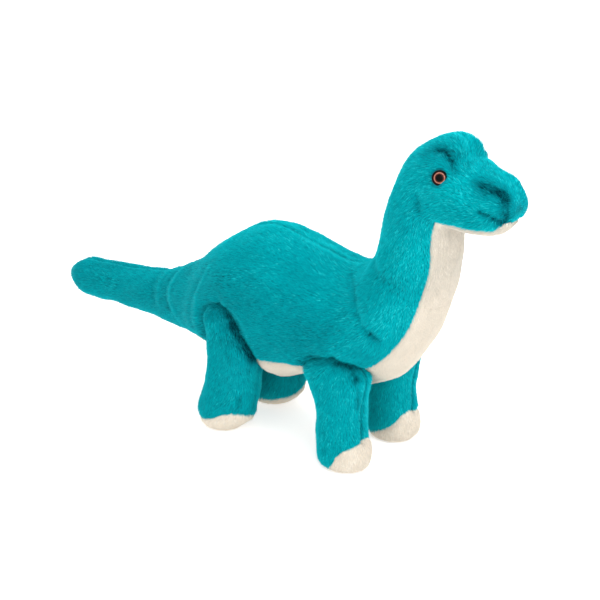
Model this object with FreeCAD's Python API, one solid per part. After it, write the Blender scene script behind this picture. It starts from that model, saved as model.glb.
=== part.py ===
import FreeCAD, Part
import math
import os
from collections import namedtuple
from FreeCAD import Placement, Rotation, Vector

# A stuffed long-necked dinosaur, sewn from plush and filled with fibre.
# Frame: +X towards the snout, +Y towards its left side, +Z up, in millimetres.
# Origin: on the ground, under the middle of the whole length and width.

# ---------------------------------------------------------------- driving dimensions
PLUSH = 4.0               # woven backing with its pile lying flat
MOVING_GAP = 0.4          # room left between two bodies that turn against each other
QUARTER_ROUND = 0.5523    # handle length that makes a cubic curve follow a quarter ellipse
FAR = 600.0               # longer than the toy in every direction

TAIL_HINGE = Vector(-88, 0, 72)
TAIL_KNUCKLE = 25.5       # radius of the round end of the tail, about its upright hinge line
NECK_HINGE = Vector(106, 0, 121)
NECK_KNUCKLE = 38.5       # radius of the round foot of the neck, about its cross-wise hinge line
NECK_LEAN = 32.0          # degrees that the neck's axis leans forward where it leaves the trunk
HEAD_SEAM_HEIGHT = 177.0  # level plane that the head turns on

LEG_SWING = 15.0          # degrees each way
LEG_SEAM = 30.0           # distance from the middle plane to the front and back seams of a leg
POCKET_INSIDE = 12.2      # distance from the middle plane to the inner wall of a leg's pocket

EYE_CENTRE = Vector(148.7, -25.4, 226.4)
EYE_DIRECTION = Vector(0.22, -0.90, 0.37)
EYE_RADIUS = 5.4
EYE_BULGE = 3.6
POST_RADIUS = 1.6
POST_LENGTH = 12.0
WASHER_RADIUS = 6.5
WASHER_THICKNESS = 1.4

# ---------------------------------------------------------------- the body's cross-sections
# Each section is two half ellipses in a plane across the body. It runs from a point on the
# back seam to a point under the belly. "widest" is how far down the greatest width lies, from
# 0 to 1. "gusset" is the half angle of the cream gusset, from the lowest point, in degrees.
Section = namedtuple("Section", "back_x back_z belly_x belly_z half_width widest gusset")

TAIL_SECTIONS = [
    Section(-198.5, 68, -198.5, 58, 5, 0.5, 0),
    Section(-195, 71, -195, 54.5, 8.5, 0.5, 0),
    Section(-185, 77, -186, 49.5, 13, 0.5, 0),
    Section(-164, 80, -163, 49.5, 14, 0.5, 0),
    Section(-136, 83, -131, 50, 15, 0.5, 0),
    Section(-104, 90, -100, 49, 18.5, 0.5, 5),
]
TRUNK_SECTIONS = [
    Section(-74, 105, -73, 49, 27, 0.55, 34),
    Section(-47, 128, -47, 48, 38.5, 0.58, 40),
    Section(-19, 146.5, -18, 47, 43, 0.6, 43),
    Section(8, 151.5, 9, 46, 44, 0.6, 43),
    Section(40, 146, 39, 45.5, 43.5, 0.6, 45),
    Section(66, 141.5, 73, 50, 41, 0.58, 50),
    Section(81, 144, 105, 65, 39, 0.56, 54),
]
NECK_SECTIONS = [
    Section(86, 154, 125, 93, 36, 0.54, 48),
    Section(89.5, 163.5, 138, 126, 33, 0.5, 42),
    Section(91, 173, 145.5, 157, 31, 0.5, 41),
    Section(94, 188, 146, 178, 30, 0.5, 41),
]
HEAD_SECTIONS = [
    Section(101, 210, 149, 188.5, 30, 0.5, 43),
    Section(115, 236, 157, 186, 29.5, 0.5, 45),
    Section(138, 248, 166, 184, 28, 0.52, 44),
    Section(150.5, 245, 171, 185, 25, 0.55, 41),
    Section(158.5, 238, 177, 187, 21.5, 0.55, 39),
    Section(168, 232.5, 183, 190, 19.5, 0.55, 38),
    Section(183, 227, 188, 194, 17, 0.5, 40),
    Section(192, 219.5, 192, 197.5, 12, 0.5, 42),
    Section(198.5, 213, 198.5, 203, 5.5, 0.5, 42),
]
BODY_SECTIONS = TAIL_SECTIONS + TRUNK_SECTIONS + NECK_SECTIONS + HEAD_SECTIONS
GUSSET_FIRST = len(TAIL_SECTIONS) - 1
GUSSET_LAST = len(BODY_SECTIONS) - 2

# ---------------------------------------------------------------- the legs' cross-sections
# A leg is a soft tube with a round top. Its sections are level ellipses: height, centre x,
# centre y outwards from the middle plane, half length along x and half width along y.
LegSection = namedtuple("LegSection", "z x y half_length half_width")
Leg = namedtuple("Leg", "name hinge sections toe_height toe_slope pocket_half")

FRONT_LEG = Leg(
    "front",
    Vector(77, 29, 72),
    [
        LegSection(0, 79, 31, 13, 12),
        LegSection(4, 79, 31, 18.5, 17),
        LegSection(11, 78.5, 31, 20, 18.5),
        LegSection(22, 77, 31, 18.5, 17.5),
        LegSection(40, 76.5, 30, 18, 17),
        LegSection(55, 76.5, 29.5, 18.5, 16),
        LegSection(72, 77, 29, 18.1, 15),
    ],
    11.0,
    30.0,
    19.4,
)
HIND_LEG = Leg(
    "hind",
    Vector(-21, 29, 78),
    [
        LegSection(0, -22, 31, 14, 12.5),
        LegSection(4, -22, 31, 20, 17.5),
        LegSection(11, -22.5, 31, 21.5, 19),
        LegSection(22, -21.5, 30.5, 19.5, 18),
        LegSection(42, -20, 29.5, 19, 17.5),
        LegSection(58, -20, 29, 21.5, 16),
        LegSection(78, -21, 29, 20.5, 15),
    ],
    10.0,
    14.0,
    23.6,
)
DOME_ANGLES = (25, 45, 65, 82)  # degrees above the level of the hinge


# ---------------------------------------------------------------- closed outlines and lofts
def quarter(corner, side, to_side, to_corner):
    """A quarter ellipse from corner to side, with its two half axes as vectors."""
    curve = Part.BezierCurve()
    curve.setPoles([corner, corner + to_side * QUARTER_ROUND, side + to_corner * QUARTER_ROUND, side])
    return curve.toShape()


def oval(top, bottom, middle, across):
    """A closed outline of four quarter ellipses through top, middle +- across, and bottom."""
    up = top - middle
    down = bottom - middle
    return Part.Wire([
        quarter(top, middle - across, -across, up),
        quarter(bottom, middle - across, -across, down).reversed(),
        quarter(bottom, middle + across, across, down),
        quarter(top, middle + across, across, up).reversed(),
    ])


def section_frame(section, inset):
    """Back point, belly point, widest middle and half width, each moved inwards by inset."""
    back = Vector(section.back_x, 0, section.back_z)
    belly = Vector(section.belly_x, 0, section.belly_z)
    downwards = (belly - back).normalize()
    back = back + downwards * inset
    belly = belly - downwards * inset
    middle = back + (belly - back) * section.widest
    return back, belly, middle, section.half_width - inset


def body_outline(section, inset):
    back, belly, middle, half_width = section_frame(section, inset)
    return oval(back, belly, middle, Vector(0, half_width, 0))


def leg_outline(section, inset):
    middle = Vector(section.x, -section.y, section.z)
    along = Vector(section.half_length - inset, 0, 0)
    return oval(middle + along, middle - along, middle, Vector(0, section.half_width - inset, 0))


def loft(outlines):
    return Part.makeLoft(outlines, True, False)


# ---------------------------------------------------------------- cutting shapes
def slab(low, high):
    """A box between two corners."""
    size = high - low
    return Part.makeBox(size.x, size.y, size.z, low)


def half_space(point, outwards):
    """A very large box whose one face passes through point and faces against outwards."""
    box = slab(Vector(-FAR, -FAR, 0), Vector(FAR, FAR, FAR))
    box.Placement = Placement(point, Rotation(Vector(0, 0, 1), outwards))
    return box


def upright_round(hinge, radius):
    return Part.makeCylinder(radius, 2 * FAR, Vector(hinge.x, hinge.y, -FAR), Vector(0, 0, 1))


def level_round(hinge, radius):
    return Part.makeCylinder(radius, 2 * FAR, Vector(hinge.x, -FAR, hinge.z), Vector(0, 1, 0))


def tail_side(gap):
    """All the room behind the tail's hinge, and the round knuckle about it."""
    behind = half_space(TAIL_HINGE, Vector(-1, 0, 0))
    return behind.fuse(upright_round(TAIL_HINGE, TAIL_KNUCKLE + gap))


def neck_side(gap):
    """All the room beyond the neck's hinge, and the round knuckle about it."""
    lean = math.radians(NECK_LEAN)
    beyond = half_space(NECK_HINGE, Vector(math.cos(lean), 0, math.sin(lean)))
    return beyond.fuse(level_round(NECK_HINGE, NECK_KNUCKLE + gap))


def turned(vector, degrees):
    """vector turned about the cross-wise axis; a positive turn takes a foot backwards."""
    return Rotation(Vector(0, 1, 0), degrees).multVec(vector)


def quarter_y(hinge, top, side):
    """A quarter ellipse in the level plane of the hinge, from its fore tip to one side."""
    fore = Vector(top.half_length + MOVING_GAP, 0, 0)
    across = Vector(0, side * (top.half_width + MOVING_GAP), 0)
    return quarter(hinge + fore, hinge + across, across, fore)


def leg_pocket(leg):
    """The hollow in the right flank that one leg fills and swings in: a ball and a fan."""
    hinge = Vector(leg.hinge.x, -leg.hinge.y, leg.hinge.z)
    top = leg.sections[-1]
    profile = Part.Wire([
        quarter_y(hinge, top, -1),
        quarter_y(hinge, top, 1).reversed(),
        Part.makeLine(hinge + Vector(0, top.half_width + MOVING_GAP, 0),
                      hinge - Vector(0, top.half_width + MOVING_GAP, 0)),
    ])
    ball = Part.Face(profile).revolve(hinge, Vector(0, 1, 0), 360)
    reach = hinge.z
    half = leg.pocket_half
    corners = [
        hinge + turned(Vector(-half, 0, 0), LEG_SWING),
        hinge + turned(Vector(-half, 0, -reach), LEG_SWING),
        hinge + turned(Vector(half, 0, -reach), -LEG_SWING),
        hinge + turned(Vector(half, 0, 0), -LEG_SWING),
    ]
    corners = [Vector(c.x, -FAR, c.z) for c in corners]
    fan = Part.Face(Part.makePolygon(corners + corners[:1])).extrude(Vector(0, FAR - POCKET_INSIDE, 0))
    return [ball, fan]


def gusset_wedge():
    """The wedge that the cream gusset takes out of the skin, from the tail root to the lip."""
    outlines = []
    for section in BODY_SECTIONS[GUSSET_FIRST:GUSSET_LAST + 1]:
        back, belly, middle, half_width = section_frame(section, 0)
        angle = math.radians(section.gusset)
        down = (belly - middle) * math.cos(angle)
        across = Vector(0, half_width * math.sin(angle), 0)
        reach = 1.4
        corners = [
            middle,
            middle + (down - across) * reach,
            middle + (belly - middle) * reach,
            middle + (down + across) * reach,
        ]
        outlines.append(Part.makePolygon(corners + corners[:1]))
    return loft(outlines)


# ---------------------------------------------------------------- writing the nodes
def solids_of(shape, smallest=1.0):
    """The solids of a boolean's result, without crumbs below `smallest` cubic millimetres."""
    found = [solid for solid in shape.Solids if solid.Volume > smallest]
    return found[0] if len(found) == 1 else Part.makeCompound(found)


def mirrored(shape):
    return shape.mirror(Vector(0, 0, 0), Vector(0, 1, 0))


def write(name, shape):
    solid = solids_of(shape)
    if not solid.isValid():
        print("NOT VALID:", name)
    print(f"{name:28s} {len(solid.Solids)} solid  {solid.Volume / 1000:9.2f} cm3")
    solid.exportStep(f"parts/{name}.step")


def write_pair(name, right_shape):
    """Write a right-hand piece and its mirror image on the left."""
    write(f"{name}_right", right_shape)
    write(f"{name}_left", mirrored(right_shape))


# ---------------------------------------------------------------- eyes
def eye_pieces():
    """The right eye's domed cap, its post, its locking washer and the room they need."""
    cap_sphere = (EYE_RADIUS ** 2 + EYE_BULGE ** 2) / (2 * EYE_BULGE)
    dome = Part.makeSphere(cap_sphere, Vector(0, 0, EYE_BULGE - cap_sphere))
    cap = dome.common(Part.makeCylinder(EYE_RADIUS, EYE_BULGE))
    post = Part.makeCylinder(POST_RADIUS, POST_LENGTH, Vector(0, 0, -POST_LENGTH))
    washer_at = Vector(0, 0, -PLUSH - 2.5)
    washer = Part.makeCylinder(WASHER_RADIUS, WASHER_THICKNESS, washer_at).cut(post)
    room = Part.makeCylinder(WASHER_RADIUS, WASHER_THICKNESS, washer_at).fuse(post)
    place = Placement(EYE_CENTRE, Rotation(Vector(0, 0, 1), EYE_DIRECTION))
    placed = []
    for piece in (cap, post, washer, room):
        piece.Placement = place
        placed.append(piece)
    return placed


# ---------------------------------------------------------------- body, tail, neck and head
def body_nodes():
    outer = loft([body_outline(section, 0) for section in BODY_SECTIONS])
    inner = loft([body_outline(section, PLUSH) for section in BODY_SECTIONS[1:-1]])
    skin = outer.cut(inner)
    wedge = gusset_wedge()
    gusset = skin.common(wedge)
    right_side = skin.cut(wedge).common(half_space(Vector(0, 0, 0), Vector(0, -1, 0)))

    pockets = []
    for leg in (FRONT_LEG, HIND_LEG):
        for hollow in leg_pocket(leg):
            pockets += [hollow, mirrored(hollow)]
    head_side = half_space(Vector(0, 0, HEAD_SEAM_HEIGHT), Vector(0, 0, 1))
    head_room = half_space(Vector(0, 0, HEAD_SEAM_HEIGHT - MOVING_GAP), Vector(0, 0, 1))
    tail, tail_room = tail_side(0), tail_side(MOVING_GAP)
    neck, neck_room = neck_side(0), neck_side(MOVING_GAP)
    cap, post, washer, eye_room = eye_pieces()
    left_eye_room = mirrored(eye_room)

    def in_trunk(shape):
        shape = shape.cut(tail_room).cut(neck_room)
        for pocket in pockets:
            shape = shape.cut(pocket)
        return shape

    def in_neck(shape):
        return shape.common(neck).cut(head_room)

    def in_head(shape):
        return shape.common(neck).common(head_side)

    write_pair("tail_panel", right_side.common(tail))
    write("tail_gusset_point", gusset.common(tail))
    write("tail_stuffing", inner.common(tail))

    write_pair("flank_panel", in_trunk(right_side))
    write("belly_gusset", in_trunk(gusset))
    write("trunk_stuffing", in_trunk(inner))

    write_pair("neck_panel", in_neck(right_side))
    write("throat_gusset", in_neck(gusset))
    write("neck_stuffing", in_neck(inner))

    write_pair("head_panel", in_head(right_side).cut(eye_room).cut(cap))
    write("chin_gusset", in_head(gusset))
    write("head_stuffing", in_head(inner).cut(eye_room).cut(left_eye_room))
    write_pair("eye_cap", cap)
    write_pair("eye_post", post)
    write_pair("eye_washer", washer)


# ---------------------------------------------------------------- legs
def dome_sections(leg, inset):
    """Level sections of the round top: an ellipsoid of revolution about the hinge line."""
    top = leg.sections[-1]
    radius = top.half_length - inset
    found = []
    for degrees in DOME_ANGLES:
        angle = math.radians(degrees)
        found.append(LegSection(
            top.z + radius * math.sin(angle),
            top.x,
            top.y,
            radius * math.cos(angle),
            (top.half_width - inset) * math.cos(angle),
        ))
    return found


def leg_nodes(leg):
    dome = [leg_outline(section, 0) for section in dome_sections(leg, 0)]
    outer = loft([leg_outline(section, 0) for section in leg.sections] + dome)
    dome = [leg_outline(section, 0) for section in dome_sections(leg, PLUSH)]
    inner = loft([leg_outline(section, PLUSH) for section in leg.sections[1:]] + dome)
    skin = outer.cut(inner)
    middle = leg.sections[0]
    slope = math.radians(leg.toe_slope)
    toe_seam = Vector(middle.x, 0, leg.toe_height)
    below = half_space(toe_seam, Vector(math.sin(slope), 0, -math.cos(slope)))
    outside = half_space(Vector(0, -LEG_SEAM, 0), Vector(0, -1, 0))
    tube = skin.cut(below)
    write_pair(f"{leg.name}_leg_outer_panel", tube.common(outside))
    write_pair(f"{leg.name}_leg_inner_panel", tube.cut(outside))
    write_pair(f"{leg.name}_leg_sole", skin.common(below))
    write_pair(f"{leg.name}_leg_stuffing", inner)


os.makedirs("parts", exist_ok=True)
body_nodes()
for each_leg in (FRONT_LEG, HIND_LEG):
    leg_nodes(each_leg)
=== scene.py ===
import math

import bmesh
import bpy
import numpy as np
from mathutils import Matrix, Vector


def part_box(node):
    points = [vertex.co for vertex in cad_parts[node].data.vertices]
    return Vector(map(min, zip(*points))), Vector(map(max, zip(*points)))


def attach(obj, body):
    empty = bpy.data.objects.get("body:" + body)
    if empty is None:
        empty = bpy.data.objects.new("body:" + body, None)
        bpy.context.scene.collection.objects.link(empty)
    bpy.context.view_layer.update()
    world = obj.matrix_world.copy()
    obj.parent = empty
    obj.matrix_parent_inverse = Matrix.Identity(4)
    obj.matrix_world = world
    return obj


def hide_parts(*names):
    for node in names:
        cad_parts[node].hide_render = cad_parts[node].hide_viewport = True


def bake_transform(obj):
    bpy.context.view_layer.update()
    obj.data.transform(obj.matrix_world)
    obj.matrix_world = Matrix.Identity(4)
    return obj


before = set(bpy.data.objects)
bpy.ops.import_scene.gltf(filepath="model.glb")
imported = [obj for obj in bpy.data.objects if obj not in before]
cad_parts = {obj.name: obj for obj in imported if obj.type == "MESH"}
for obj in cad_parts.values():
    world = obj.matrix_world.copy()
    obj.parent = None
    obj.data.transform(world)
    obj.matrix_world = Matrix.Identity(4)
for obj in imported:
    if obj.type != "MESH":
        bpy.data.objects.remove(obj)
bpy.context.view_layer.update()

# A stuffed long-necked dinosaur. Each plush panel is two pieces: a thick woven backing, and the
# pile that stands on it, strand by strand. Shapes are worked out in millimetres and handed to
# Blender in metres. +X is towards the snout, +Y the animal's left, +Z up.

MM = 0.001
rng = np.random.default_rng(11)

# ---------------------------------------------------------------- sizes
TEAL_PILE = 1.7         # height of the teal pile as it lies
CREAM_PILE = 1.1        # height of the cream pile
BACKING = 1.6           # thickness of the backing
UV_MAP = "OFBake"       # the one UV map of each piece
STRAND_FOOT = 0.02      # where a strand starts and ends in V
STRAND_TOP = 0.98
PLAIN_TONE = 0.62       # the U of a strand that is neither lit nor shaded
LEG_RADIUS = 19         # turns an angle round a leg into millimetres
HIND_RADIUS = 20
LEG_HIDDEN = 7.0        # how deep in a leg or in the trunk no pile is left

# ---------------------------------------------------------------- the body's cross-sections
# The CAD body's sections, with a point added at the tail's tip and at the snout's, and moved by
# up to 7 mm where the plush sags or swells: back x and z, belly x and z, half width, how far down
# the greatest width lies, and the half angle of the cream gusset in degrees.
BODY_SECTIONS = np.array([
    (-199.5, 63.5, -199.5, 62.5, 0.5, 0.5, 0),
    (-198.5, 68, -198.5, 58, 5, 0.5, 0),
    (-195, 71, -195, 54.5, 8.5, 0.5, 0),
    (-185, 77, -186, 49.5, 13, 0.5, 0),
    (-164, 80, -163, 49.5, 14, 0.5, 0),
    (-136, 83, -131, 50, 15, 0.5, 0),
    (-104, 90, -100, 49, 18.5, 0.5, 5),
    (-74, 105, -73, 49, 27, 0.55, 34),
    (-47, 128, -47, 46.5, 38.5, 0.58, 41),
    (-19, 146.0, -18, 42, 43, 0.59, 47),
    (8, 150.0, 9, 39, 44, 0.58, 58),
    (40, 143.2, 39, 50.5, 43.5, 0.6, 53),
    (66, 141, 73, 49.5, 41, 0.58, 50),
    (81, 146.3, 105, 66.5, 39, 0.56, 52),
    (87, 154, 125, 93.5, 36, 0.54, 45.5),
    (90.5, 163.5, 138, 126, 33, 0.5, 40),
    (92, 173, 145.5, 157, 31, 0.5, 40),
    (95, 188, 146, 178, 30, 0.5, 41),
    (102, 209.3, 149, 188, 30, 0.5, 43),
    (116.7, 234.2, 157, 185, 29.5, 0.5, 43),
    (138, 247.5, 166, 183.5, 28, 0.52, 43),
    (150.4, 245.8, 171, 184.5, 25, 0.55, 42),
    (157, 237.6, 177, 186.5, 21.5, 0.55, 37),
    (167, 232, 183, 189.5, 19.8, 0.55, 31),
    (182.5, 228, 187.5, 193.5, 17.6, 0.5, 34),
    (190.6, 222, 191.6, 197.5, 14.6, 0.5, 11),
    (195.0, 215.2, 195.0, 202, 9.6, 0.5, 9),
    (196.2, 209, 196.2, 208, 0.5, 0.5, 8),
], float)

# Where one piece of the body ends and the next begins, counted in sections.
GUSSET_START = 6.0
TAIL_END = 7.35
TRUNK_END = 12.0
NECK_END = 15.0
LIP = 24.75
SNOUT_END = len(BODY_SECTIONS) - 1.0


def smooth_step(value, low, high):
    t = np.clip((value - low) / (high - low), 0, 1)
    return t * t * (3 - 2 * t)


def bell(distance, width):
    """1 at no distance, falling smoothly to nothing a few widths away."""
    return np.exp(-(distance / width) ** 2)


def wrapped(angle):
    """The same angle between half a turn back and half a turn on."""
    return np.arctan2(np.sin(angle), np.cos(angle))


def on_the_right(points):
    """Points with those of the left side mirrored to the right."""
    return np.where(points[..., 1:2] > 0, points * np.array([1, -1, 1]), points)


class Curve:
    """Rows of a table joined by a smooth curve, whose parameter counts the rows."""

    def __init__(self, table, measured):
        self.table = np.asarray(table, float)
        steps = np.linalg.norm(np.diff(self.table[:, :measured], axis=0), axis=1) ** 0.5
        self.at = np.concatenate([[0], np.cumsum(steps)])
        slopes = np.diff(self.table, axis=0) / steps[:, None]
        before, after = steps[:-1, None], steps[1:, None]
        self.slope = np.empty_like(self.table)
        self.slope[1:-1] = (slopes[:-1] * after + slopes[1:] * before) / (before + after)
        self.slope[0], self.slope[-1] = slopes[0], slopes[-1]

    def __call__(self, u):
        u = np.clip(np.asarray(u, float), 0, len(self.table) - 1)
        i = np.minimum(u.astype(int), len(self.table) - 2)
        s = (u - i)[..., None]
        span = (self.at[i + 1] - self.at[i])[..., None]
        return ((2 * s ** 3 - 3 * s ** 2 + 1) * self.table[i]
                + (s ** 3 - 2 * s ** 2 + s) * span * self.slope[i]
                + (3 * s ** 2 - 2 * s ** 3) * self.table[i + 1]
                + (s ** 3 - s ** 2) * span * self.slope[i + 1])


def lumps(points, wavelength, seed):
    """A smooth field of hills and hollows from -1 to 1, about `wavelength` mm apart."""
    own = np.random.default_rng(seed)
    total = np.zeros(points.shape[:-1])
    waves = 7
    for _ in range(waves):
        direction = own.normal(size=3)
        direction *= 2 * math.pi / (wavelength * np.linalg.norm(direction) * own.uniform(0.7, 1.3))
        total += np.sin(points @ direction + own.uniform(0, 2 * math.pi))
    return total / waves ** 0.5


def from_path(points, path):
    """Distance of each point from a line through the rows of path."""
    shortest = np.full(points.shape[:-1], 1e9)
    for start, end in zip(path[:-1], path[1:]):
        along = end - start
        part = np.clip((points - start) @ along / max(along @ along, 1e-9), 0, 1)
        away = np.linalg.norm(points - start - part[..., None] * along, axis=-1)
        shortest = np.minimum(shortest, away)
    return shortest


class Surface:
    """A skin laid out by two parameters; `point` is what each kind of skin defines."""

    step_u = 0.03
    step_v = 0.02

    def slopes(self, point, u, v):
        low, high = np.maximum(u - self.step_u, self.first), np.minimum(u + self.step_u, self.last)
        along = point(high, v) - point(low, v)
        around = point(u, v + self.step_v) - point(u, v - self.step_v)
        return along, around

    def normal(self, point, u, v):
        along, around = self.slopes(point, u, v)
        found = np.cross(around, along)
        size = np.linalg.norm(found, axis=-1, keepdims=True)
        return found / np.maximum(size, 1e-9)

    def skin(self, u, v):
        """The backing's outside: the outline, moved along its normal by the relief."""
        outline = self.outline(u, v)
        normal = self.normal(self.outline, u, v)
        return outline + normal * self.relief(u, v, outline)[..., None]


# ---------------------------------------------------------------- legs
class Leg(Surface):
    """One leg: u runs from the middle of the sole to the top, v round it from the front seam.

    v grows outwards, away from the other leg of the pair.
    """

    step_u = 0.05
    first = 0.0

    def __init__(self, side, hinge, foot, rows, dome_height, dome_lean, toe_seam, creases,
                 swellings, darker, painted_sole_light):
        self.side, self.hinge, self.foot = side, hinge, foot
        self.toe_angles, self.toe_heights = np.array(toe_seam, float).T
        self.creases, self.swellings = creases, swellings
        self.darker, self.painted_sole_light = darker, painted_sole_light
        top = rows[-1]
        dome = []
        for degrees in (18, 36, 54, 72, 90):
            angle = math.radians(degrees)
            rise, shrink = math.sin(angle), max(math.cos(angle), 0.02)
            dome.append((top[0] + dome_height * rise, top[1] + dome_lean * rise,
                         top[2], top[3] * shrink, top[4] * shrink))
        sole = [(0.0, rows[0][1], rows[0][2], 0.3, 0.3), (0.0, rows[0][1], rows[0][2], 7, 6.5)]
        self.curve = Curve(sole + rows + dome, 5)
        self.last = len(self.curve.table) - 1.0

    def outline(self, u, v):
        z, x, y, half_length, half_width = np.moveaxis(self.curve(u), -1, 0)
        lean = 1 - smooth_step(z, 0, self.hinge[2])
        return np.stack([
            x + self.foot[0] * lean + half_length * np.cos(v),
            self.side * (y + self.foot[1] * lean + half_width * np.sin(v)),
            z,
        ], -1)

    def normal(self, point, u, v):
        return self.side * super().normal(point, u, v)

    def toe(self, v):
        """The height of the seam between the sole and the leg."""
        return np.interp(np.degrees(wrapped(v)), self.toe_angles, self.toe_heights)

    def toe_row(self, v):
        """The parameter u at which the leg reaches the toe seam."""
        rows = np.linspace(2.0, 7.5, 111)
        return np.interp(self.toe(v), self.curve(rows)[:, 0], rows)

    def relief(self, u, v, at):
        z = at[..., 2]
        above_seam = z - self.toe(v)
        leg = smooth_step(above_seam, -1.0, 1.5)
        depth = -CREAM_PILE - (TEAL_PILE - CREAM_PILE) * leg
        depth -= 0.8 * bell(above_seam, 1.8)
        for angle, low, high, hollow, width in self.creases:
            away = wrapped(v - math.radians(angle)) * LEG_RADIUS
            ends = smooth_step(z, low, low + 8) * (1 - smooth_step(z, high - 8, high))
            depth -= hollow * bell(away, width) * ends
        for turn, middle, around, up, height in self.swellings:
            depth += height * bell((v - turn) * HIND_RADIUS, around) * bell(z - middle, up)
        depth += 0.5 * lumps(at, 26, 5)
        flat = 1 - smooth_step(z, 0.5, 3)
        return depth * (1 - flat) - 0.6 * flat

    def shade(self, u, v, at):
        """Painted shade in the seams, by the flank and on hind legs; painted light on the sole."""
        z = at[..., 2]
        total = np.zeros(z.shape)
        # Painted shade in the leg's creases, stronger where they are deeper.
        for angle, low, high, hollow, width in self.creases:
            away = wrapped(v - math.radians(angle)) * LEG_RADIUS
            ends = smooth_step(z, low, low + 6) * (1 - smooth_step(z, high - 6, high))
            total += 0.33 * hollow * bell(away, width * 0.8) * ends
        # Painted shade where the leg meets the trunk, and over the whole of a hind leg.
        total += 0.25 * bell(np.maximum(from_trunk(at), 0), 1.6) + self.darker
        # Painted light on the sole, against the shade that falls on it.
        total -= self.painted_sole_light * (z < self.toe(v))
        return total + fold_shadow(on_the_right(at), 1.0)


# The CAD legs' sections, fuller at the hips and shoulders. Rows: height, centre x, centre y
# outwards, half length, half width.
FRONT_ROWS = [
    (0.0, 78.5, 31, 12, 11),
    (3.4, 78.0, 31, 18.4, 16.3),
    (11.0, 78, 31, 20.3, 18.5),
    (22.0, 76.3, 31, 19.8, 18),
    (38.0, 75.6, 30, 19.2, 17.3),
    (50.0, 74.8, 30, 20.4, 17.5),
    (58.0, 73.4, 29.5, 23.2, 17.5),
    (67.0, 72.2, 29.5, 26.4, 17.2),
]
HIND_ROWS = [
    (0.0, -25.5, 31, 11.5, 11),
    (4.0, -25.8, 31, 17.5, 16.5),
    (11.0, -23.2, 31, 21.8, 19),
    (19.0, -21.6, 30.5, 22.6, 18.5),
    (28.0, -19.4, 30.3, 22.7, 18),
    (42.0, -17.5, 30, 21.8, 17.6),
    (58.0, -16.8, 29.5, 23.0, 17.5),
    (70.0, -18.4, 29, 22.2, 17.3),
    (77.0, -20, 29, 20.8, 17),
]
# The toe seam's height by the angle round the leg, front 0 and outer side 90.
FRONT_TOES = [(-180, 2), (-130, 3.5), (-100, 8), (-80, 11.5), (-55, 17), (-30, 23.5), (-10, 25.3),
              (0, 24), (26, 22.3), (55, 19.5), (73, 14.8), (81, 9.8), (92, 4.5), (110, 2.2),
              (180, 2)]
HIND_TOES = [(-180, 5.5), (-120, 4.5), (-90, 5.5), (-60, 7), (-30, 10), (0, 14.5), (34, 17.5),
             (53, 18), (71, 16.3), (93, 11.3), (120, 7.5), (180, 5)]
# Creases down a leg: angle, lowest and highest z, depth, width.
FRONT_CREASES = [(3, 20, 90, 3.2, 1.8), (180, 8, 80, 0.8, 2)]
HIND_CREASES = [(40, 18, 38, 1.2, 1.6), (32, 50, 68, 0.7, 2.0), (180, 8, 80, 0.8, 2),
                (0, 18, 90, 0.7, 2)]
# The thigh's swellings: turn in radians, height of the middle, widths around and up, depth.
THIGH = [(0.85, 66, 12, 14, 5.5), (1.9, 86, 13, 9, 2.6)]

# The deep shadow lines between the body and the legs: points on the right side, width, darkness.
FOLD_SHADOWS = [
    ([(-33, -36, 90), (-26.5, -37.6, 93), (-21, -38, 92.6), (-16, -38, 91)], 1.3, 0.6),
    ([(-16, -38.4, 90.5), (-10, -39, 87)], 2.4, 0.7),
    ([(-8.5, -39.4, 85), (-6, -39.8, 82.5), (-2, -39, 77), (2, -38, 71.3), (4.3, -34, 65.5)],
     4.0, 1.3),
    ([(54.6, -36, 73), (64, -37, 77.6), (72.7, -37.6, 80.6)], 1.7, 0.9),
    ([(78, -36, 81), (86, -35.3, 80), (90.5, -36.4, 77), (93, -37, 74)], 3.4, 0.75),
    ([(93, -37, 74), (94.2, -36.6, 66), (94.5, -35, 52)], 1.7, 0.6),
]


def fold_shadow(right, spread):
    """The darkness of the deep shadow lines at points of the right side."""
    total = np.zeros(right.shape[:-1])
    for line, width, dark in FOLD_SHADOWS:
        total += dark * bell(from_path(right, np.array(line, float)), width * spread)
    return total


# Side, its name, and how far each foot leans forwards and outwards: front foot, hind foot.
STANCE = [
    (-1, "right", (-0.5, -3), (-1.5, 0)),
    (1, "left", (-1, -2), (1, -8)),
]
LEGS = {}
for side, side_name, front_foot, hind_foot in STANCE:
    # Front legs carry painted light on the sole and no painted shade over the leg.
    LEGS[f"front_leg_{side_name}"] = Leg(
        side, (77, side * 29, 72), front_foot, FRONT_ROWS, 17.5, 4.0, FRONT_TOES, FRONT_CREASES,
        swellings=[], darker=0, painted_sole_light=0.12)
    # Hind legs carry painted shade over the whole leg, and stronger painted light on the sole.
    LEGS[f"hind_leg_{side_name}"] = Leg(
        side, (-21, side * 29, 78), hind_foot, HIND_ROWS, 21.0, -3.0, HIND_TOES, HIND_CREASES,
        swellings=THIGH, darker=0.13, painted_sole_light=0.35)


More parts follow.
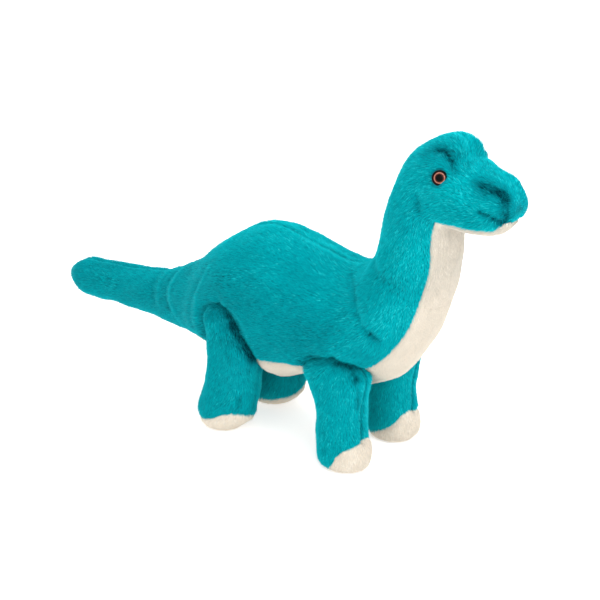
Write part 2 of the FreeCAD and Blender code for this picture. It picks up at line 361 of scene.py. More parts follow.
# ---------------------------------------------------------------- body
class Body(Surface):
    """Tail, trunk, neck and head: u counts the sections, v goes round from the back seam."""

    first, last = 0.0, SNOUT_END

    def __init__(self, creases):
        self.curve = Curve(BODY_SECTIONS, 4)
        self.creases = []
        for path, _, width, height, dark in creases:
            rows, degrees = np.array(path, float).T
            self.creases.append((self.outline(rows, np.radians(degrees)), width, height, dark))

    def outline(self, u, v):
        back_x, back_z, belly_x, belly_z, half_width, widest, _ = np.moveaxis(self.curve(u), -1, 0)
        down = np.cos(v)
        part = np.where(down > 0, widest * (1 - down), widest - (1 - widest) * down)
        return np.stack([
            back_x + (belly_x - back_x) * part,
            -half_width * np.sin(v),
            back_z + (belly_z - back_z) * part,
        ], -1)

    def gusset(self, u):
        """Half angle of the cream gusset, in radians."""
        return np.radians(np.maximum(self.curve(u)[..., 6], 0))

    def relief(self, u, v, at):
        x, y, z = np.moveaxis(at, -1, 0)
        half_width = self.curve(u)[..., 4]
        below = np.abs(wrapped(v - math.pi))
        above = np.abs(wrapped(v))
        seam = (below - self.gusset(u)) * half_width
        cream = (1 - smooth_step(seam, -2.0, 1.0)) * smooth_step(u, GUSSET_START, 7) * (u < LIP)
        depth = -TEAL_PILE + (TEAL_PILE - CREAM_PILE) * cream
        depth -= 1.0 * bell(seam, 2.0) * smooth_step(u, 5.5, 6.5)
        depth -= 1.3 * bell(above * half_width, 1.8) * (1 - 0.7 * smooth_step(u, 16, 18))
        depth += 0.6 * lumps(at, 38, 2) + 0.25 * lumps(at, 17, 3)
        depth += self.leg_folds(x, y, z)
        for line, width, height, _ in self.creases:
            depth += height * self.near(at, line, width)
        return depth

    def near(self, at, line, width):
        """1 on a line over the skin, on either side of the animal, and 0 well away from it."""
        right = on_the_right(at)
        low, high = line.min(axis=0) - 3 * width, line.max(axis=0) + 3 * width
        close = ((right > low) & (right < high)).all(axis=-1)
        found = np.zeros(at.shape[:-1])
        if close.any():
            found[close] = bell(from_path(right[close], line), width)
        return found

    def shade(self, u, v, at):
        """Painted shade and light on the pile: creases, leg tops, trunk, throat, neck, back seam.
        """
        total = np.zeros(at.shape[:-1])
        below = np.abs(wrapped(v - math.pi))
        cream = (below < self.gusset(u)) & (u < LIP)
        # Painted shade in the creases, and painted light where a crease's value is negative;
        # little on the cream.
        for line, width, _, dark in self.creases:
            total += dark * self.near(at, line, width * 1.1) * np.where(cream, 0.1, 1)
        x, y, z = np.moveaxis(at, -1, 0)
        # Painted shade round the tops of the legs.
        for leg in LEGS.values():
            inside = self.leg_outline(leg, x, z)
            same_side = smooth_step(y * leg.side, 8, 16)
            edge = bell(np.minimum(inside, 0), 4) * bell(np.maximum(inside, 0), 1.5)
            total += 0.3 * edge * same_side
        # Painted shade low on the trunk, painted light on the neck and head, and painted shade on
        # the cream throat.
        total += 0.24 * smooth_step(z, 150, 95) * (1 - smooth_step(u, 12.5, 14)) * (1 - cream)
        total -= 0.12 * smooth_step(u, 13.5, 16)
        total += 0.30 * cream * smooth_step(u, 14, 16)
        total += fold_shadow(on_the_right(at), 0.55)
        # Along the back seam: a painted shadow line in the seam, with painted sheen a few mm to
        # each side.
        middle = np.abs(wrapped(v)) * self.curve(u)[..., 4]
        painted_seam_span = smooth_step(u, 9, 10) * (1 - smooth_step(u, 12.2, 13))
        total += (0.75 * bell(middle, 0.9) - 0.35 * bell(middle - 3.2, 1.8)) * painted_seam_span
        return total

    def leg_outline(self, leg, x, z):
        """Distance outside a leg's outline as seen from the side."""
        row = leg.curve(np.linspace(6, leg.last, 60))
        centre = np.interp(z, row[:, 0], row[:, 1])
        half = np.interp(z, row[:, 0], row[:, 3], right=0)
        beside = np.abs(x - centre) - half
        above = np.hypot(x - row[-1, 1], np.maximum(z - row[-1, 0], 0))
        return np.where(z > row[-1, 0], above, beside * 0.85)

    def leg_folds(self, x, y, z):
        """The flank draws in where a leg is sewn on, and lies back behind the leg itself."""
        total = np.zeros(x.shape)
        for leg in LEGS.values():
            inside = self.leg_outline(leg, x, z)
            same_side = smooth_step(y * leg.side, 8, 16)
            total -= (2.0 * bell(inside, 3.5) + 5.0 * smooth_step(-inside, 0, 6)) * same_side
        return total


# Creases and swellings of the body. Each path is a list of places on the skin: section number
# and degrees round from the back. Then come the kind, the width, the height and the painted
# shade, which is painted light where it is negative, as on the chest's sheen, the cheek and the
# tail's ridges.
CREASES = [
    ([(19.7, 36), (20.2, 41), (20.7, 47)], "brow hollow", 5.5, -0.4, 0.25),
    ([(20.1, 36), (20.5, 36), (20.9, 43), (21.25, 49), (21.4, 54)], "brow", 3.0, -2.2, 0.75),
    ([(20.6, 10), (21.0, 22), (21.2, 32)], "forehead", 5.5, 2.2, 0.0),
    ([(22.2, 0), (22.1, 18), (22.0, 30)], "bridge", 4.0, -2.4, 0.0),
    ([(23.4, 0), (24.2, 25), (24.9, 30)], "nose top", 6.0, 1.0, 0.0),
    ([(18.9, 82), (18.8, 92), (18.5, 103)], "neck dart", 2.4, -1.3, 0.35),
    ([(23.1, 47), (23.7, 48), (24.3, 47), (24.8, 50)], "nose side", 4.0, -1.0, 0.55),
    ([(24.75, 46), (25.15, 56), (25.35, 75), (25.35, 100), (25.0, 125), (24.6, 140)],
     "nostril fold", 3.0, -1.6, 1.1),
    ([(23.6, 52), (24.4, 56), (24.85, 70), (24.85, 100)], "snout shadow", 7.0, -0.2, 0.45),
    ([(23.0, 95), (23.5, 103), (23.9, 117), (24.38, 135)], "mouth corner", 1.9, -1.5, 1.0),
    ([(24.3, 134), (24.6, 145), (24.85, 158), (24.95, 180)], "mouth", 2.2, -1.2, 2.2),
    ([(12.25, 100), (12.7, 86), (12.95, 76)], "chest sheen", 9.0, 0.0, -0.28),
    ([(19.6, 70), (20.2, 62), (20.8, 66)], "upper lid", 3.0, -1.2, 0.25),
    ([(20.9, 78), (21.8, 85), (22.8, 88)], "cheek", 7.0, 0.8, -0.1),
    ([(12.3, 24), (12.9, 44), (13.1, 64), (13.3, 80), (13.55, 92)], "shoulder", 3.0, -1.3, 0.24),
    ([(13.6, 96), (13.75, 108)], "shoulder dimple", 2.2, -1.8, 0.7),
    ([(14.6, 40), (14.75, 55), (14.95, 76), (15.2, 95)], "neck base", 5.0, -1.6, 0.12),
    # The tail's ridges carry painted light and its folds painted shade.
    ([(6.18, 17), (6.10, 56), (6.21, 90)], "tail ridge", 2.4, 0.7, -0.14),
    ([(5.92, 17), (5.85, 56), (5.98, 90)], "tail fold", 2.8, -0.7, 0.08),
    ([(6.81, 27), (6.66, 56), (6.75, 82), (6.97, 94)], "tail ridge", 2.4, 0.8, -0.16),
    ([(6.53, 27), (6.40, 56), (6.48, 82), (6.68, 94)], "tail fold", 2.8, -0.8, 0.10),
    ([(8.26, 48), (8.03, 70), (8.05, 85), (8.14, 110)], "tail ridge", 2.6, 0.7, -0.14),
    ([(7.9, 60), (7.75, 75), (7.78, 95), (7.9, 112)], "tail fold", 3.0, -0.6, 0.08),
]


BODY = Body(CREASES)


def from_trunk(points):
    """How far points lie outside the trunk, roughly, by its upright sections."""
    rows = BODY.curve(np.linspace(6, 15, 91))
    x = (rows[:, 0] + rows[:, 2]) / 2
    top = np.interp(points[..., 0], x, rows[:, 1])
    bottom = np.interp(points[..., 0], x, rows[:, 3])
    half_width = np.interp(points[..., 0], x, rows[:, 4])
    middle = top + (bottom - top) * np.interp(points[..., 0], x, rows[:, 5])
    half_height = np.where(points[..., 2] > middle, top - middle, middle - bottom)
    reach = np.hypot((points[..., 2] - middle) / half_height, points[..., 1] / half_width)
    return (reach - 1) * 0.5 * (half_width + half_height)


# ---------------------------------------------------------------- materials
def material(name, roughness, build, **sockets):
    """A Principled material; build(nodes, links, shader) adds its pattern."""
    made = bpy.data.materials.new(name)
    made.use_nodes = True
    nodes, links = made.node_tree.nodes, made.node_tree.links
    shader = nodes["Principled BSDF"]
    shader.inputs["Base Color"].default_value = (0.5, 0.5, 0.5, 1)
    shader.inputs["Roughness"].default_value = roughness
    for socket, value in sockets.items():
        value = (*value, 1) if isinstance(value, tuple) else value
        shader.inputs[socket.replace("_", " ")].default_value = value
    build(nodes, links, shader)
    return made


def object_place(nodes):
    return nodes.new("ShaderNodeTexCoord").outputs["Object"]


def ramp(nodes, links, source, stops):
    """Colours along a value: each stop is a place and its colour."""
    node = nodes.new("ShaderNodeValToRGB")
    links.new(source, node.inputs["Fac"])
    elements = node.color_ramp.elements
    while len(elements) < len(stops):
        elements.new(0.5)
    for element, (place, colour) in zip(elements, stops):
        element.position = place
        element.color = (*colour, 1)
    return node.outputs["Color"]


def mix(nodes, links, kind, amount, first, second):
    """Two colours put together; each is a plain colour or another node's result."""
    node = nodes.new("ShaderNodeMix")
    node.data_type = "RGBA"
    node.blend_type = kind
    node.inputs["Factor"].default_value = amount
    for socket, value in ((node.inputs[6], first), (node.inputs[7], second)):
        if isinstance(value, tuple):
            socket.default_value = (*value, 1)
        else:
            links.new(value, socket)
    return node.outputs[2]


def noise(nodes, links, vector, scale, detail=3.0, stretch=(1, 1, 1)):
    """Noise over a vector, stretched along chosen axes."""
    place = nodes.new("ShaderNodeMapping")
    place.inputs["Scale"].default_value = stretch
    links.new(vector, place.inputs["Vector"])
    node = nodes.new("ShaderNodeTexNoise")
    node.inputs["Scale"].default_value = scale
    node.inputs["Detail"].default_value = detail
    links.new(place.outputs["Vector"], node.inputs["Vector"])
    return node.outputs["Fac"]


def pile_material(name, foot, middle, tip, glint_colour, sheen_tint, sheen):
    """Fibre colours: U is each strand's tone with its painted shade and light, V runs foot to tip.
    """

    def build(nodes, links, shader):
        uv = nodes.new("ShaderNodeUVMap")
        uv.uv_map = UV_MAP
        split = nodes.new("ShaderNodeSeparateXYZ")
        links.new(uv.outputs["UV"], split.inputs["Vector"])
        # Darker towards each strand's foot: painted shade among the roots.
        along = ramp(nodes, links, split.outputs["Y"], [(0.0, foot), (0.45, middle), (1.0, tip)])
        # Tone to colour: the strands' own random tone, darkened by painted shade and lightened by
        # painted light.
        tone = ramp(nodes, links, split.outputs["X"],
                    [(0.0, (0.04, 0.06, 0.08)), (0.25, (0.45, 0.50, 0.53)),
                     (0.55, (0.9, 0.91, 0.92)), (1.0, (1.35, 1.30, 1.25))])
        # A few strands take a brighter colour: painted glints.
        painted_glints = ramp(nodes, links, noise(nodes, links, uv.outputs["UV"], 25, 1.0, (1, 0.02, 1)),
                     [(0.60, (0, 0, 0)), (0.68, (1, 1, 1))])
        blend = nodes.new("ShaderNodeMix")
        blend.data_type = "RGBA"
        links.new(painted_glints, blend.inputs["Factor"])
        links.new(along, blend.inputs[6])
        blend.inputs[7].default_value = (*glint_colour, 1)
        toned = mix(nodes, links, "MULTIPLY", 1.0, blend.outputs[2], tone)
        fine = noise(nodes, links, uv.outputs["UV"], 60, 2.0, (1, 0.15, 1))
        spots = ramp(nodes, links, fine, [(0.35, (0.86, 0.88, 0.9)), (0.65, (1.1, 1.08, 1.06))])
        links.new(mix(nodes, links, "MULTIPLY", 0.8, toned, spots), shader.inputs["Base Color"])

    return material(name, 0.6, build, Sheen_Weight=sheen, Sheen_Roughness=0.4,
                    Sheen_Tint=sheen_tint, Specular_IOR_Level=0.04, Specular_Tint=sheen_tint)


def backing_material(name, dark, light):
    """Woven backing with roots of pile in it: fine threads over cloudy colour."""

    def build(nodes, links, shader):
        where = object_place(nodes)
        clouds = noise(nodes, links, where, 90, 4.0)
        colour = ramp(nodes, links, clouds, [(0.3, dark), (0.7, light)])
        wave = nodes.new("ShaderNodeTexWave")
        wave.inputs["Scale"].default_value = 420
        wave.inputs["Distortion"].default_value = 1.5
        links.new(where, wave.inputs["Vector"])
        threads = ramp(nodes, links, wave.outputs["Fac"], [(0, (0.8, 0.8, 0.8)), (1, (1, 1, 1))])
        links.new(mix(nodes, links, "MULTIPLY", 0.7, colour, threads), shader.inputs["Base Color"])
        bump = nodes.new("ShaderNodeBump")
        bump.inputs["Strength"].default_value = 0.5
        bump.inputs["Distance"].default_value = 0.0004
        links.new(wave.outputs["Fac"], bump.inputs["Height"])
        links.new(bump.outputs["Normal"], shader.inputs["Normal"])
        rough = nodes.new("ShaderNodeMapRange")
        rough.inputs["To Min"].default_value = 0.75
        rough.inputs["To Max"].default_value = 0.95
        links.new(clouds, rough.inputs["Value"])
        links.new(rough.outputs["Result"], shader.inputs["Roughness"])

    return material(name, 0.9, build, Specular_IOR_Level=0.05)


# Pile colours: foot, middle and tip, darker at the foot as painted shade among the roots; then the
# painted glint colour, the sheen's tint and the sheen's weight.
TEAL = pile_material("teal_pile", (0.0002, 0.15, 0.19), (0.0004, 0.34, 0.39), (0.001, 0.50, 0.56),
                     (0.02, 0.61, 0.66), (0.05, 0.90, 1.0), 0.16)
CREAM = pile_material("cream_pile", (0.63, 0.55, 0.44), (0.73, 0.65, 0.54), (0.77, 0.70, 0.60),
                      (0.82, 0.77, 0.68), (1.0, 0.97, 0.9), 0.05)
# The teal backing is darker than its pile: painted shade under the pile.
TEAL_BACKING = backing_material("teal_backing", (0.0003, 0.14, 0.17), (0.0006, 0.24, 0.28))
CREAM_BACKING = backing_material("cream_backing", (0.66, 0.6, 0.5), (0.80, 0.74, 0.64))


def fibre_fill(nodes, links, shader):
    """White polyester fibre in loose tufts."""
    tufts = noise(nodes, links, object_place(nodes), 60, 6.0)
    links.new(ramp(nodes, links, tufts, [(0.3, (0.72, 0.72, 0.70)), (0.7, (0.93, 0.93, 0.91))]),
              shader.inputs["Base Color"])
    bump = nodes.new("ShaderNodeBump")
    bump.inputs["Distance"].default_value = 0.002
    links.new(tufts, bump.inputs["Height"])
    links.new(bump.outputs["Normal"], shader.inputs["Normal"])


def moulded(dark, light):
    """Moulded plastic with a fine grain."""

    def build(nodes, links, shader):
        grain = noise(nodes, links, object_place(nodes), 900, 2.0)
        links.new(ramp(nodes, links, grain, [(0.3, dark), (0.7, light)]),
                  shader.inputs["Base Color"])

    return build


STUFFING = material("fibre_fill", 0.95, fibre_fill)
WASHER = material("white_moulded", 0.5, moulded((0.70, 0.70, 0.68), (0.80, 0.80, 0.78)))
POST = material("dark_moulded", 0.35, moulded((0.012, 0.010, 0.010), (0.03, 0.026, 0.025)))


# ---------------------------------------------------------------- meshes
def mesh_object(name, vertices, faces, material_used):
    """A smooth mesh from points in millimetres."""
    mesh = bpy.data.meshes.new(name)
    mesh.from_pydata(vertices * MM, [], faces)
    work = bmesh.new()
    work.from_mesh(mesh)
    bmesh.ops.remove_doubles(work, verts=work.verts, dist=2e-6)
    bmesh.ops.dissolve_degenerate(work, edges=work.edges, dist=1e-6)
    bmesh.ops.recalc_face_normals(work, faces=work.faces)
    work.to_mesh(mesh)
    work.free()
    mesh.polygons.foreach_set("use_smooth", np.ones(len(mesh.polygons), bool))
    mesh.materials.append(material_used)
    made = bpy.data.objects.new(name, mesh)
    bpy.context.collection.objects.link(made)
    return made


def thick_patch(name, surface, patch, across, along, material_used, closed=False):
    """A closed panel: the patch's outside, its inside one backing deeper, and its rim."""
    s, t = np.meshgrid(np.linspace(0, 1, across), np.linspace(0, 1, along), indexing="ij")
    u, v = patch(s, t)
    outside = surface.skin(u, v)
    normal = surface.normal(surface.outline, u, v)
    inside = outside - normal * BACKING
    if closed:
        outside[:, -1], inside[:, -1] = outside[:, 0], inside[:, 0]
    count = across * along
    number = np.arange(count).reshape(across, along)
    a, b, c, d = (number[:-1, :-1], number[1:, :-1], number[1:, 1:], number[:-1, 1:])
    front = np.stack([a, b, c, d], -1).reshape(-1, 4)
    back = front[:, ::-1] + count
    rims = []
    edges = [number[0, :], number[-1, ::-1]]
    if not closed:
        edges += [number[::-1, 0], number[:, -1]]
    for edge in edges:
        rims.append(np.stack([edge[:-1], edge[1:], edge[1:] + count, edge[:-1] + count], -1))
    faces = np.concatenate([front, back] + rims).tolist()
    vertices = np.concatenate([outside.reshape(-1, 3), inside.reshape(-1, 3)])
    return mesh_object(name, vertices, faces, material_used)


def scatter(surface, patch, density, cells):
    """Evenly spread parameters over a patch, `density` to the square millimetre."""
    s, t = np.meshgrid(np.linspace(0, 1, cells[0] + 1), np.linspace(0, 1, cells[1] + 1),
                       indexing="ij")
    u, v = patch(s, t)
    grid = surface.outline(u, v)
    across = grid[1:, 1:] - grid[:-1, :-1]
    other = grid[:-1, 1:] - grid[1:, :-1]
    areas = np.linalg.norm(np.cross(across, other), axis=-1).ravel() / 2
    total = areas.sum()
    count = int(total * density)
    reached = (np.arange(count) + rng.uniform(0, 1, count)) / count * total
    cell = np.minimum(np.searchsorted(np.cumsum(areas), reached), areas.size - 1)
    row, column = np.divmod(cell, cells[1])
    s = (row + rng.uniform(0, 1, count)) / cells[0]
    t = (column + rng.uniform(0, 1, count)) / cells[1]
    return patch(s, t)


# A strand's four triangles. Its corners are two at the foot, a ridge between them, and the tip.
STRAND_CORNERS = np.array([0, 2, 1, 0, 1, 3, 1, 2, 3, 2, 0, 3])
ROOT_DEPTH = 0.3
FLOOR_CLEARANCE = 0.05
TONE_SPREAD = np.array([-0.004, 0.004, 0, 0])


def unit(vectors):
    return vectors / np.maximum(np.linalg.norm(vectors, axis=-1, keepdims=True), 1e-9)


def pile(name, surface, patch, kind, cells, keep, trim=None):
    """The pile of one panel: three-sided spikes that lie along the nap."""
    u, v = scatter(surface, patch, kind["density"], cells)
    root = surface.skin(u, v)
    chosen = keep(root)
    u, v, root = u[chosen], v[chosen], root[chosen]
    count = len(u)
    normal = surface.normal(surface.skin, u, v)
    along, _ = surface.slopes(surface.skin, u, v)
    nap = -unit(along)
    nap = unit(nap - normal * (nap * normal).sum(-1, keepdims=True))
    side = np.cross(normal, nap)
    swirl = 0.13 * lumps(root, 34, 21) + 0.07 * lumps(root, 6, 22) + rng.normal(0, 0.22, count)
    nap = nap * np.cos(swirl)[:, None] + side * np.sin(swirl)[:, None]
    side = np.cross(normal, nap)
    length = (kind["length"] * rng.uniform(0.75, 1.2, count))[:, None]
    if surface is BODY:
        shorter = 0.3 * smooth_step(u, 24.2, 25) + 0.35 * smooth_step(u, 25, 26.5)
        length *= (1 - shorter)[:, None]
    if trim is not None:
        length *= np.clip(trim(u, v, root) / kind["length"], 0.3, 1)[:, None]
    width = (kind["width"] * rng.uniform(0.75, 1.2, count))[:, None] / 2
    lift = (kind["lift"] * (1 + 0.16 * lumps(root, 6, 23) + rng.normal(0, 0.16, count)))[:, None]
    tip = root + nap * length + normal * length * lift
    foot = root - normal * ROOT_DEPTH
    spine = unit(tip - foot)
    ridge = unit(normal - spine * (normal * spine).sum(-1, keepdims=True))
    corners = np.stack([foot - side * width, foot + side * width, foot + ridge * width * 1.2,
                        tip], 1)
    corners[..., 2] = np.maximum(corners[..., 2], FLOOR_CLEARANCE)
    shading = np.stack([normal - side * 0.45, normal + side * 0.45, normal,
                        normal + nap * 0.15], 1)

    mesh = bpy.data.meshes.new(name)
    mesh.vertices.add(count * 4)
    mesh.vertices.foreach_set("co", (corners * MM).astype(np.float32).ravel())
    loops = (STRAND_CORNERS[None, :] + 4 * np.arange(count)[:, None]).ravel()
    mesh.loops.add(len(loops))
    mesh.loops.foreach_set("vertex_index", loops.astype(np.int32))
    mesh.polygons.add(count * 4)
    mesh.polygons.foreach_set("loop_start", np.arange(0, count * 12, 3, dtype=np.int32))
    mesh.polygons.foreach_set("use_smooth", np.ones(count * 4, bool))
    # The strands' own uneven tone, with painted sheen and shade in the larger clouds where the nap
    # lies differently, and painted glints where the speckle grows stronger in patches.
    clouds = 0.05 * lumps(root, 3, 27) + 0.03 * lumps(root, 8, 24) + 0.05 * lumps(root, 40, 25)
    speckle_and_glints = 0.06 + 0.11 * smooth_step(lumps(root, 42, 26), 0.2, 1.4)
    uneven_tone_and_sheen = kind["tone"] * (clouds + rng.normal(0, 1, count) * speckle_and_glints)
    # Painted shade and painted light from the surface's shade, taken off each strand's tone.
    shaded = np.clip(surface.shade(u, v, surface.outline(u, v)), -0.4, 1)
    tone = np.clip(PLAIN_TONE + uneven_tone_and_sheen - PLAIN_TONE * shaded, 0.02, 0.98)
    height = np.array([STRAND_FOOT] * 3 + [STRAND_TOP])
    uv = np.stack([tone[:, None] + TONE_SPREAD, np.broadcast_to(height, (count, 4))], -1)
    layer = mesh.uv_layers.new(name=UV_MAP)
    layer.data.foreach_set("uv", uv.reshape(-1, 2)[loops].astype(np.float32).ravel())
    mesh.materials.append(kind["material"])
    mesh.update(calc_edges=True)
    mesh.normals_split_custom_set_from_vertices(unit(shading).reshape(-1, 3))
    made = bpy.data.objects.new(name, mesh)
    bpy.context.collection.objects.link(made)
    return made


def core(name, surface, low, high, node, place, rows=40, around=40):
    """The stuffing of one part: a closed soft body just inside the backing."""
    u, v = np.meshgrid(np.linspace(low, high, rows),
                       np.linspace(0, 2 * math.pi, around, endpoint=False), indexing="ij")
    ring = surface.skin(u, v) - surface.normal(surface.outline, u, v) * (BACKING + 0.5)
    ends = [ring[0].mean(axis=0), ring[-1].mean(axis=0)]
    vertices = np.concatenate([ring.reshape(-1, 3), np.array(ends)])
    count = rows * around
    number = np.arange(count).reshape(rows, around)
    after = np.roll(number, -1, axis=1)
    faces = np.stack([number[:-1], after[:-1], after[1:], number[1:]], -1).reshape(-1, 4).tolist()
    faces += np.stack([after[0], number[0], np.full(around, count)], -1).tolist()
    faces += np.stack([number[-1], after[-1], np.full(around, count + 1)], -1).tolist()
    made = mesh_object(name, vertices, faces, STUFFING)
    settle(made, [node], place)


DENSITY = 1.0


def pile_kind(fibre, length, width, lift, density, tone):
    """One sort of pile: lift is a share of the length, density is strands to the square mm."""
    return {"material": fibre, "length": length, "width": width, "lift": lift,
            "density": density * DENSITY, "tone": tone}


TEAL_KIND = pile_kind(TEAL, 3.3, 0.46, 0.40, 2.9, 1)
LEG_KIND = pile_kind(TEAL, 3.2, 0.46, 0.40, 2.9, 1)
FACE_KIND = pile_kind(TEAL, 3.0, 0.44, 0.42, 3.1, 1.35)
CREAM_KIND = pile_kind(CREAM, 2.8, 0.42, 0.26, 2.6, 0.4)


# ---------------------------------------------------------------- what hides what
def inside_leg(points, leg, margin):
    """True where a point lies deeper than margin inside a leg."""
    z = points[:, 2]
    rows = leg.curve(np.linspace(3, leg.last, 200))
    x = np.interp(z, rows[:, 0], rows[:, 1])
    y = np.interp(z, rows[:, 0], rows[:, 2])
    half_length = np.interp(z, rows[:, 0], rows[:, 3]) - margin
    half_width = np.interp(z, rows[:, 0], rows[:, 4]) - margin
    within = ((points[:, 0] - x) / np.maximum(half_length, 0.1)) ** 2
    within += ((points[:, 1] - leg.side * y) / np.maximum(half_width, 0.1)) ** 2
    return (within < 1) & (z > 0) & (z < rows[-1, 0] - margin)


def eye_centre(side_name):
    low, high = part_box(f"eye_cap_{side_name}")
    return np.array((low + high) / 2) / MM


EYES = {side_name: eye_centre(side_name) for side_name in ("left", "right")}
EYE_CLEARING = 6.9      # no pile grows this close to the middle of an eye


def keep_body(points):
    kept = np.ones(len(points), bool)
    for leg in LEGS.values():
        kept &= ~inside_leg(points, leg, LEG_HIDDEN)
    for centre in EYES.values():
        kept &= np.linalg.norm(points - centre, axis=-1) > EYE_CLEARING
    return kept


def keep_leg(points):
    return from_trunk(points) > -LEG_HIDDEN


# ---------------------------------------------------------------- panels of the body
def side_patch(low, high, side):
    """From the back seam down to the gusset's seam, on one side."""

    def patch(s, t):
        u = low + (high - low) * s
        gusset = BODY.gusset(u) * smooth_step(u, GUSSET_START - 0.4, GUSSET_START)
        gusset = gusset * (1 - smooth_step(u, LIP, LIP + 0.25))
        reach = (math.pi - gusset) * t
        return u, (reach if side < 0 else -reach)

    return patch


def gusset_patch(low, high):
    def patch(s, t):
        u = low + (high - low) * s
        return u, math.pi + BODY.gusset(u) * (2 * t - 1)

    return patch


def settle(piece, nodes, place):
    """Hides the CAD parts that a piece replaces, and hands the piece to place."""
    if nodes:
        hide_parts(*nodes)
    place(piece)


def rides(body):
    return lambda piece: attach(piece, body)


def blends(start, end):
    start, end = (tuple(c * MM for c in point) for point in (start, end))
    return lambda piece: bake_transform(piece)


NECK_LEAN = math.radians(32)
NECK_AXIS = np.array([math.cos(NECK_LEAN), 0, math.sin(NECK_LEAN)])
NECK_HINGE = np.array([106.0, 0, 121.0])
HEAD_AXIS = np.array([0.25, 0, 0.97])
PARTS = {
    "tail": (0.0, TAIL_END, blends((-66, 0, 72), (-110, 0, 72))),
    "flank": (TAIL_END, TRUNK_END, rides("trunk")),
    "neck": (TRUNK_END, NECK_END,
             blends(NECK_HINGE - 23 * NECK_AXIS, NECK_HINGE + 8.5 * NECK_AXIS)),
    "head": (NECK_END, SNOUT_END, blends(HEAD_AXIS * 182, HEAD_AXIS * 214)),
}
GUSSETS = {
    "tail": ("tail_gusset_point", GUSSET_START - 0.3, TAIL_END),
    "flank": ("belly_gusset", TAIL_END, TRUNK_END),
    "neck": ("throat_gusset", TRUNK_END, NECK_END),
    "head": ("chin_gusset", NECK_END, LIP + 0.1),
}

for part, (low, high, place) in PARTS.items():
    kind = FACE_KIND if part == "head" else TEAL_KIND
    for side, side_name in ((-1, "right"), (1, "left")):
        patch = side_patch(low, high, side)
        node = f"{part}_panel_{side_name}"
        rows = int((high - low) * 12) + 2
        backing = thick_patch(f"{part}_backing_{side_name}", BODY, patch, rows, 60, TEAL_BACKING)
        settle(backing, [node], place)
        grown = pile(f"{part}_pile_{side_name}", BODY, patch, kind, (160, 120), keep_body)
        settle(grown, [], place)
    node, low, high = GUSSETS[part]
    patch = gusset_patch(low, high)
    backing = thick_patch(node.replace("gusset", "gusset_backing"), BODY, patch,
                          int((high - low) * 12) + 2, 26, CREAM_BACKING)
    settle(backing, [node], place)
    grown = pile(node.replace("gusset", "gusset_pile"), BODY, patch, CREAM_KIND, (160, 40),
                 keep_body)
    settle(grown, [], place)
for part, (low, high, place) in PARTS.items():
    node = "trunk_stuffing" if part == "flank" else f"{part}_stuffing"
    core(f"{part}_filling", BODY, max(low + 0.02, 0.9), min(high - 0.02, SNOUT_END - 0.9), node,
         place)


# ---------------------------------------------------------------- panels of the legs
def tube_patch(leg, outer):
    """The outer or the inner half of a leg, from the toe seam to the top."""
    turn = math.pi if outer else -math.pi

    def patch(s, t):
        v = turn * t
        low = leg.toe_row(v)
        return low + (leg.last - low) * s, v

    return patch


def sole_patch(leg):
    def patch(s, t):
        v = 2 * math.pi * t
        return leg.toe_row(v) * s, v

    return patch


for name, leg in LEGS.items():
    short, side_name = name.rsplit("_", 1)
    x, y, z = leg.hinge
    place = blends((x, y, z + 12), (x, y, z - 28))
    for outer in (True, False):
        which = "outer" if outer else "inner"
        patch = tube_patch(leg, outer)
        backing = thick_patch(f"{short}_{which}_backing_{side_name}", leg, patch, 60, 40,
                              TEAL_BACKING)
        settle(backing, [f"{short}_{which}_panel_{side_name}"], place)
        grown = pile(f"{short}_{which}_pile_{side_name}", leg, patch, LEG_KIND, (90, 60), keep_leg,
                     trim=lambda u, v, root: root[:, 2] - leg.toe(v) + 1.5)
        settle(grown, [], place)
    patch = sole_patch(leg)
    backing = thick_patch(f"{short}_sole_backing_{side_name}", leg, patch, 30, 64, CREAM_BACKING,
                          closed=True)
    settle(backing, [f"{short}_sole_{side_name}"], place)
    grown = pile(f"{short}_sole_pile_{side_name}", leg, patch, CREAM_KIND, (50, 60),
                 lambda points: points[:, 2] > 1.2)
    settle(grown, [], place)
    core(f"{short}_filling_{side_name}", leg, 1.2, leg.last - 0.6,
         f"{short}_stuffing_{side_name}", place)


# ---------------------------------------------------------------- eyes
def eye_material():
    """A painted iris under a clear polished dome, laid out from the middle of the UV map."""

    def build(nodes, links, shader):
        uv = nodes.new("ShaderNodeUVMap")
        uv.uv_map = UV_MAP
        centred = nodes.new("ShaderNodeVectorMath")
        centred.operation = "SUBTRACT"
        centred.inputs[1].default_value = (0.5, 0.5, 0)
        links.new(uv.outputs["UV"], centred.inputs[0])
        radius = nodes.new("ShaderNodeVectorMath")
        radius.operation = "LENGTH"
        links.new(centred.outputs[0], radius.inputs[0])
        rays = nodes.new("ShaderNodeVectorMath")
        rays.operation = "NORMALIZE"
        links.new(centred.outputs[0], rays.inputs[0])
        fibres = noise(nodes, links, rays.outputs[0], 9, 4.0)
        iris = ramp(nodes, links, fibres, [(0.3, (0.16, 0.045, 0.032)), (0.7, (0.50, 0.21, 0.15))])
        rings = ramp(nodes, links, radius.outputs["Value"],
                     [(0.0, (0, 0, 0)), (0.165, (0, 0, 0)), (0.18, (0.1, 0.07, 0.06)),
                      (0.225, (0.2, 0.15, 0.13)), (0.245, (1, 1, 1)), (0.275, (1, 1, 1)),
                      (0.295, (0, 0, 0))])
        painted = mix(nodes, links, "MULTIPLY", 1.0, iris, rings)
        lifted = mix(nodes, links, "ADD", 1.0, painted, (0.002, 0.002, 0.002))
        links.new(lifted, shader.inputs["Base Color"])

    return material("eye_dome", 0.3, build, Specular_IOR_Level=0.03, Coat_Weight=0.07,
                    Coat_Roughness=0.05)


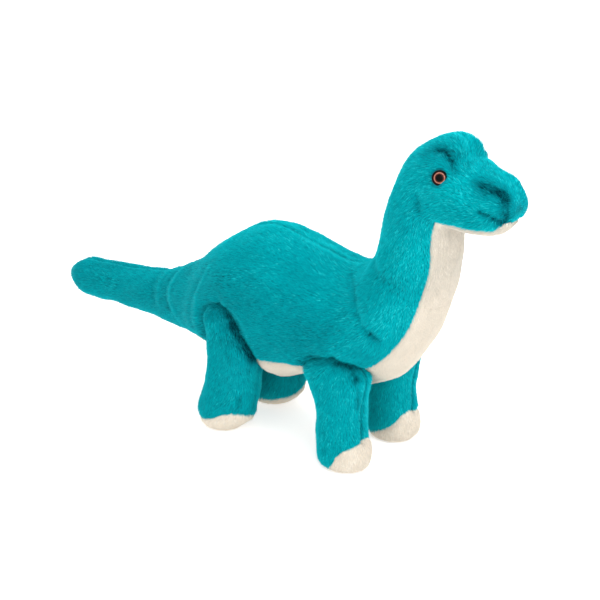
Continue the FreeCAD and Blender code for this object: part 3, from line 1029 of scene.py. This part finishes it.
# The cap's profile as radius and height, from the middle of its back to the middle of its dome.
EYE_PROFILE = [(0, -0.9), (3.0, -0.9), (4.7, -0.9), (5.05, -0.5), (5.1, 0.1), (4.95, 0.5),
               (4.7, 0.75), (4.4, 0.95), (3.9, 1.25), (3.2, 1.55), (2.3, 1.8), (1.3, 1.95),
               (0.5, 2.0), (0, 2.01)]
EYE_STEPS = 48
EYE_MAP = 12.6          # the width that the eye's UV map covers
EYE_SUNK = 1.9          # how far the rim lies below the middle of the cap's box
EYE_DIRECTION = Vector((0.45, -0.81, 0.37)).normalized()


def eye(side_name):
    """A domed cap with a rolled rim, turned about its own axis and set on the cheek."""
    direction = EYE_DIRECTION.copy()
    if side_name == "left":
        direction.y = -direction.y
    turn = direction.to_track_quat("Z", "Y").to_matrix()
    centre = Vector(EYES[side_name]) - direction * EYE_SUNK
    vertices = []
    for radius, height in EYE_PROFILE:
        for step in range(EYE_STEPS):
            angle = 2 * math.pi * step / EYE_STEPS
            spot = Vector((radius * math.cos(angle), radius * math.sin(angle), height))
            vertices.append(centre + turn @ spot)
    faces = []
    for ring in range(len(EYE_PROFILE) - 1):
        for step in range(EYE_STEPS):
            after = (step + 1) % EYE_STEPS
            faces.append((ring * EYE_STEPS + step, ring * EYE_STEPS + after,
                          (ring + 1) * EYE_STEPS + after, (ring + 1) * EYE_STEPS + step))
    made = mesh_object(f"eye_dome_{side_name}", np.array([tuple(v) for v in vertices]), faces, EYE)
    layer = made.data.uv_layers.new(name=UV_MAP)
    back = turn.transposed()
    for loop in made.data.loops:
        spot = back @ (made.data.vertices[loop.vertex_index].co / MM - centre)
        layer.data[loop.index].uv = (0.5 + spot.x / EYE_MAP, 0.5 + spot.y / EYE_MAP)
    settle(made, [f"eye_cap_{side_name}"], rides("head"))


EYE = eye_material()
for side_name in ("right", "left"):
    eye(side_name)


# ---------------------------------------------------------------- hidden pieces kept from the CAD
for node_name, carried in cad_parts.items():
    if "washer" in node_name or "post" in node_name:
        for material_slot in carried.material_slots:
            material_slot.material = WASHER if "washer" in node_name else POST


# ---------------------------------------------------------------- floor, light and camera
def floor():
    bpy.ops.mesh.primitive_plane_add(size=12, location=(0, 0, -0.0004))
    made = bpy.context.object
    made.name = "floor"

    def build(nodes, links, shader):
        clouds = noise(nodes, links, object_place(nodes), 3, 2.0)
        pale = ramp(nodes, links, clouds, [(0.3, (0.90, 0.90, 0.90)), (0.7, (0.92, 0.92, 0.92))])
        links.new(pale, shader.inputs["Base Color"])

    finish = material("pale_floor", 0.9, build, Emission_Color=(1.0, 1.0, 1.0),
                      Emission_Strength=0.45)
    made.data.materials.append(finish)


def area_light(name, place, target, size, power):
    data = bpy.data.lights.new(name, "AREA")
    data.shape = "DISK"
    data.size = size
    data.energy = power
    made = bpy.data.objects.new(name, data)
    made.location = place
    made.rotation_euler = (Vector(target) - Vector(place)).to_track_quat("-Z", "Y").to_euler()
    bpy.context.collection.objects.link(made)


AZIMUTH, ELEVATION = math.radians(38.0), math.radians(24.0)
CAMERA_TARGET = Vector((17.2, 0, 97.3)) * MM
CAMERA_DISTANCE = 1.55
VIEW_WIDTH = 0.4158     # what the camera sees across at the target, in metres


def camera():
    back = Vector((math.sin(AZIMUTH) * math.cos(ELEVATION),
                   -math.cos(AZIMUTH) * math.cos(ELEVATION),
                   math.sin(ELEVATION)))
    data = bpy.data.cameras.new("camera")
    made = bpy.data.objects.new("camera", data)
    bpy.context.collection.objects.link(made)
    data.angle = 2 * math.atan(VIEW_WIDTH / 2 / CAMERA_DISTANCE)
    made.location = CAMERA_TARGET + back * CAMERA_DISTANCE
    made.rotation_mode = "QUATERNION"
    made.rotation_quaternion = (-back).to_track_quat("-Z", "Y")
    bpy.context.scene.camera = made


MIDDLE = (0.02, 0, 0.11)
floor()
area_light("key", (1.4, -0.6, 1.2), MIDDLE, 1.7, 22)
area_light("fill", (-0.9, -1.3, 0.6), MIDDLE, 1.4, 2)
area_light("top", (-0.1, 0.2, 1.6), MIDDLE, 1.4, 15)
world = bpy.data.worlds.new("studio")
world.use_nodes = True
world.node_tree.nodes["Background"].inputs["Color"].default_value = (1, 1, 1, 1)
world.node_tree.nodes["Background"].inputs["Strength"].default_value = 0.97
bpy.context.scene.world = world
bpy.context.scene.view_settings.view_transform = "Standard"
camera()
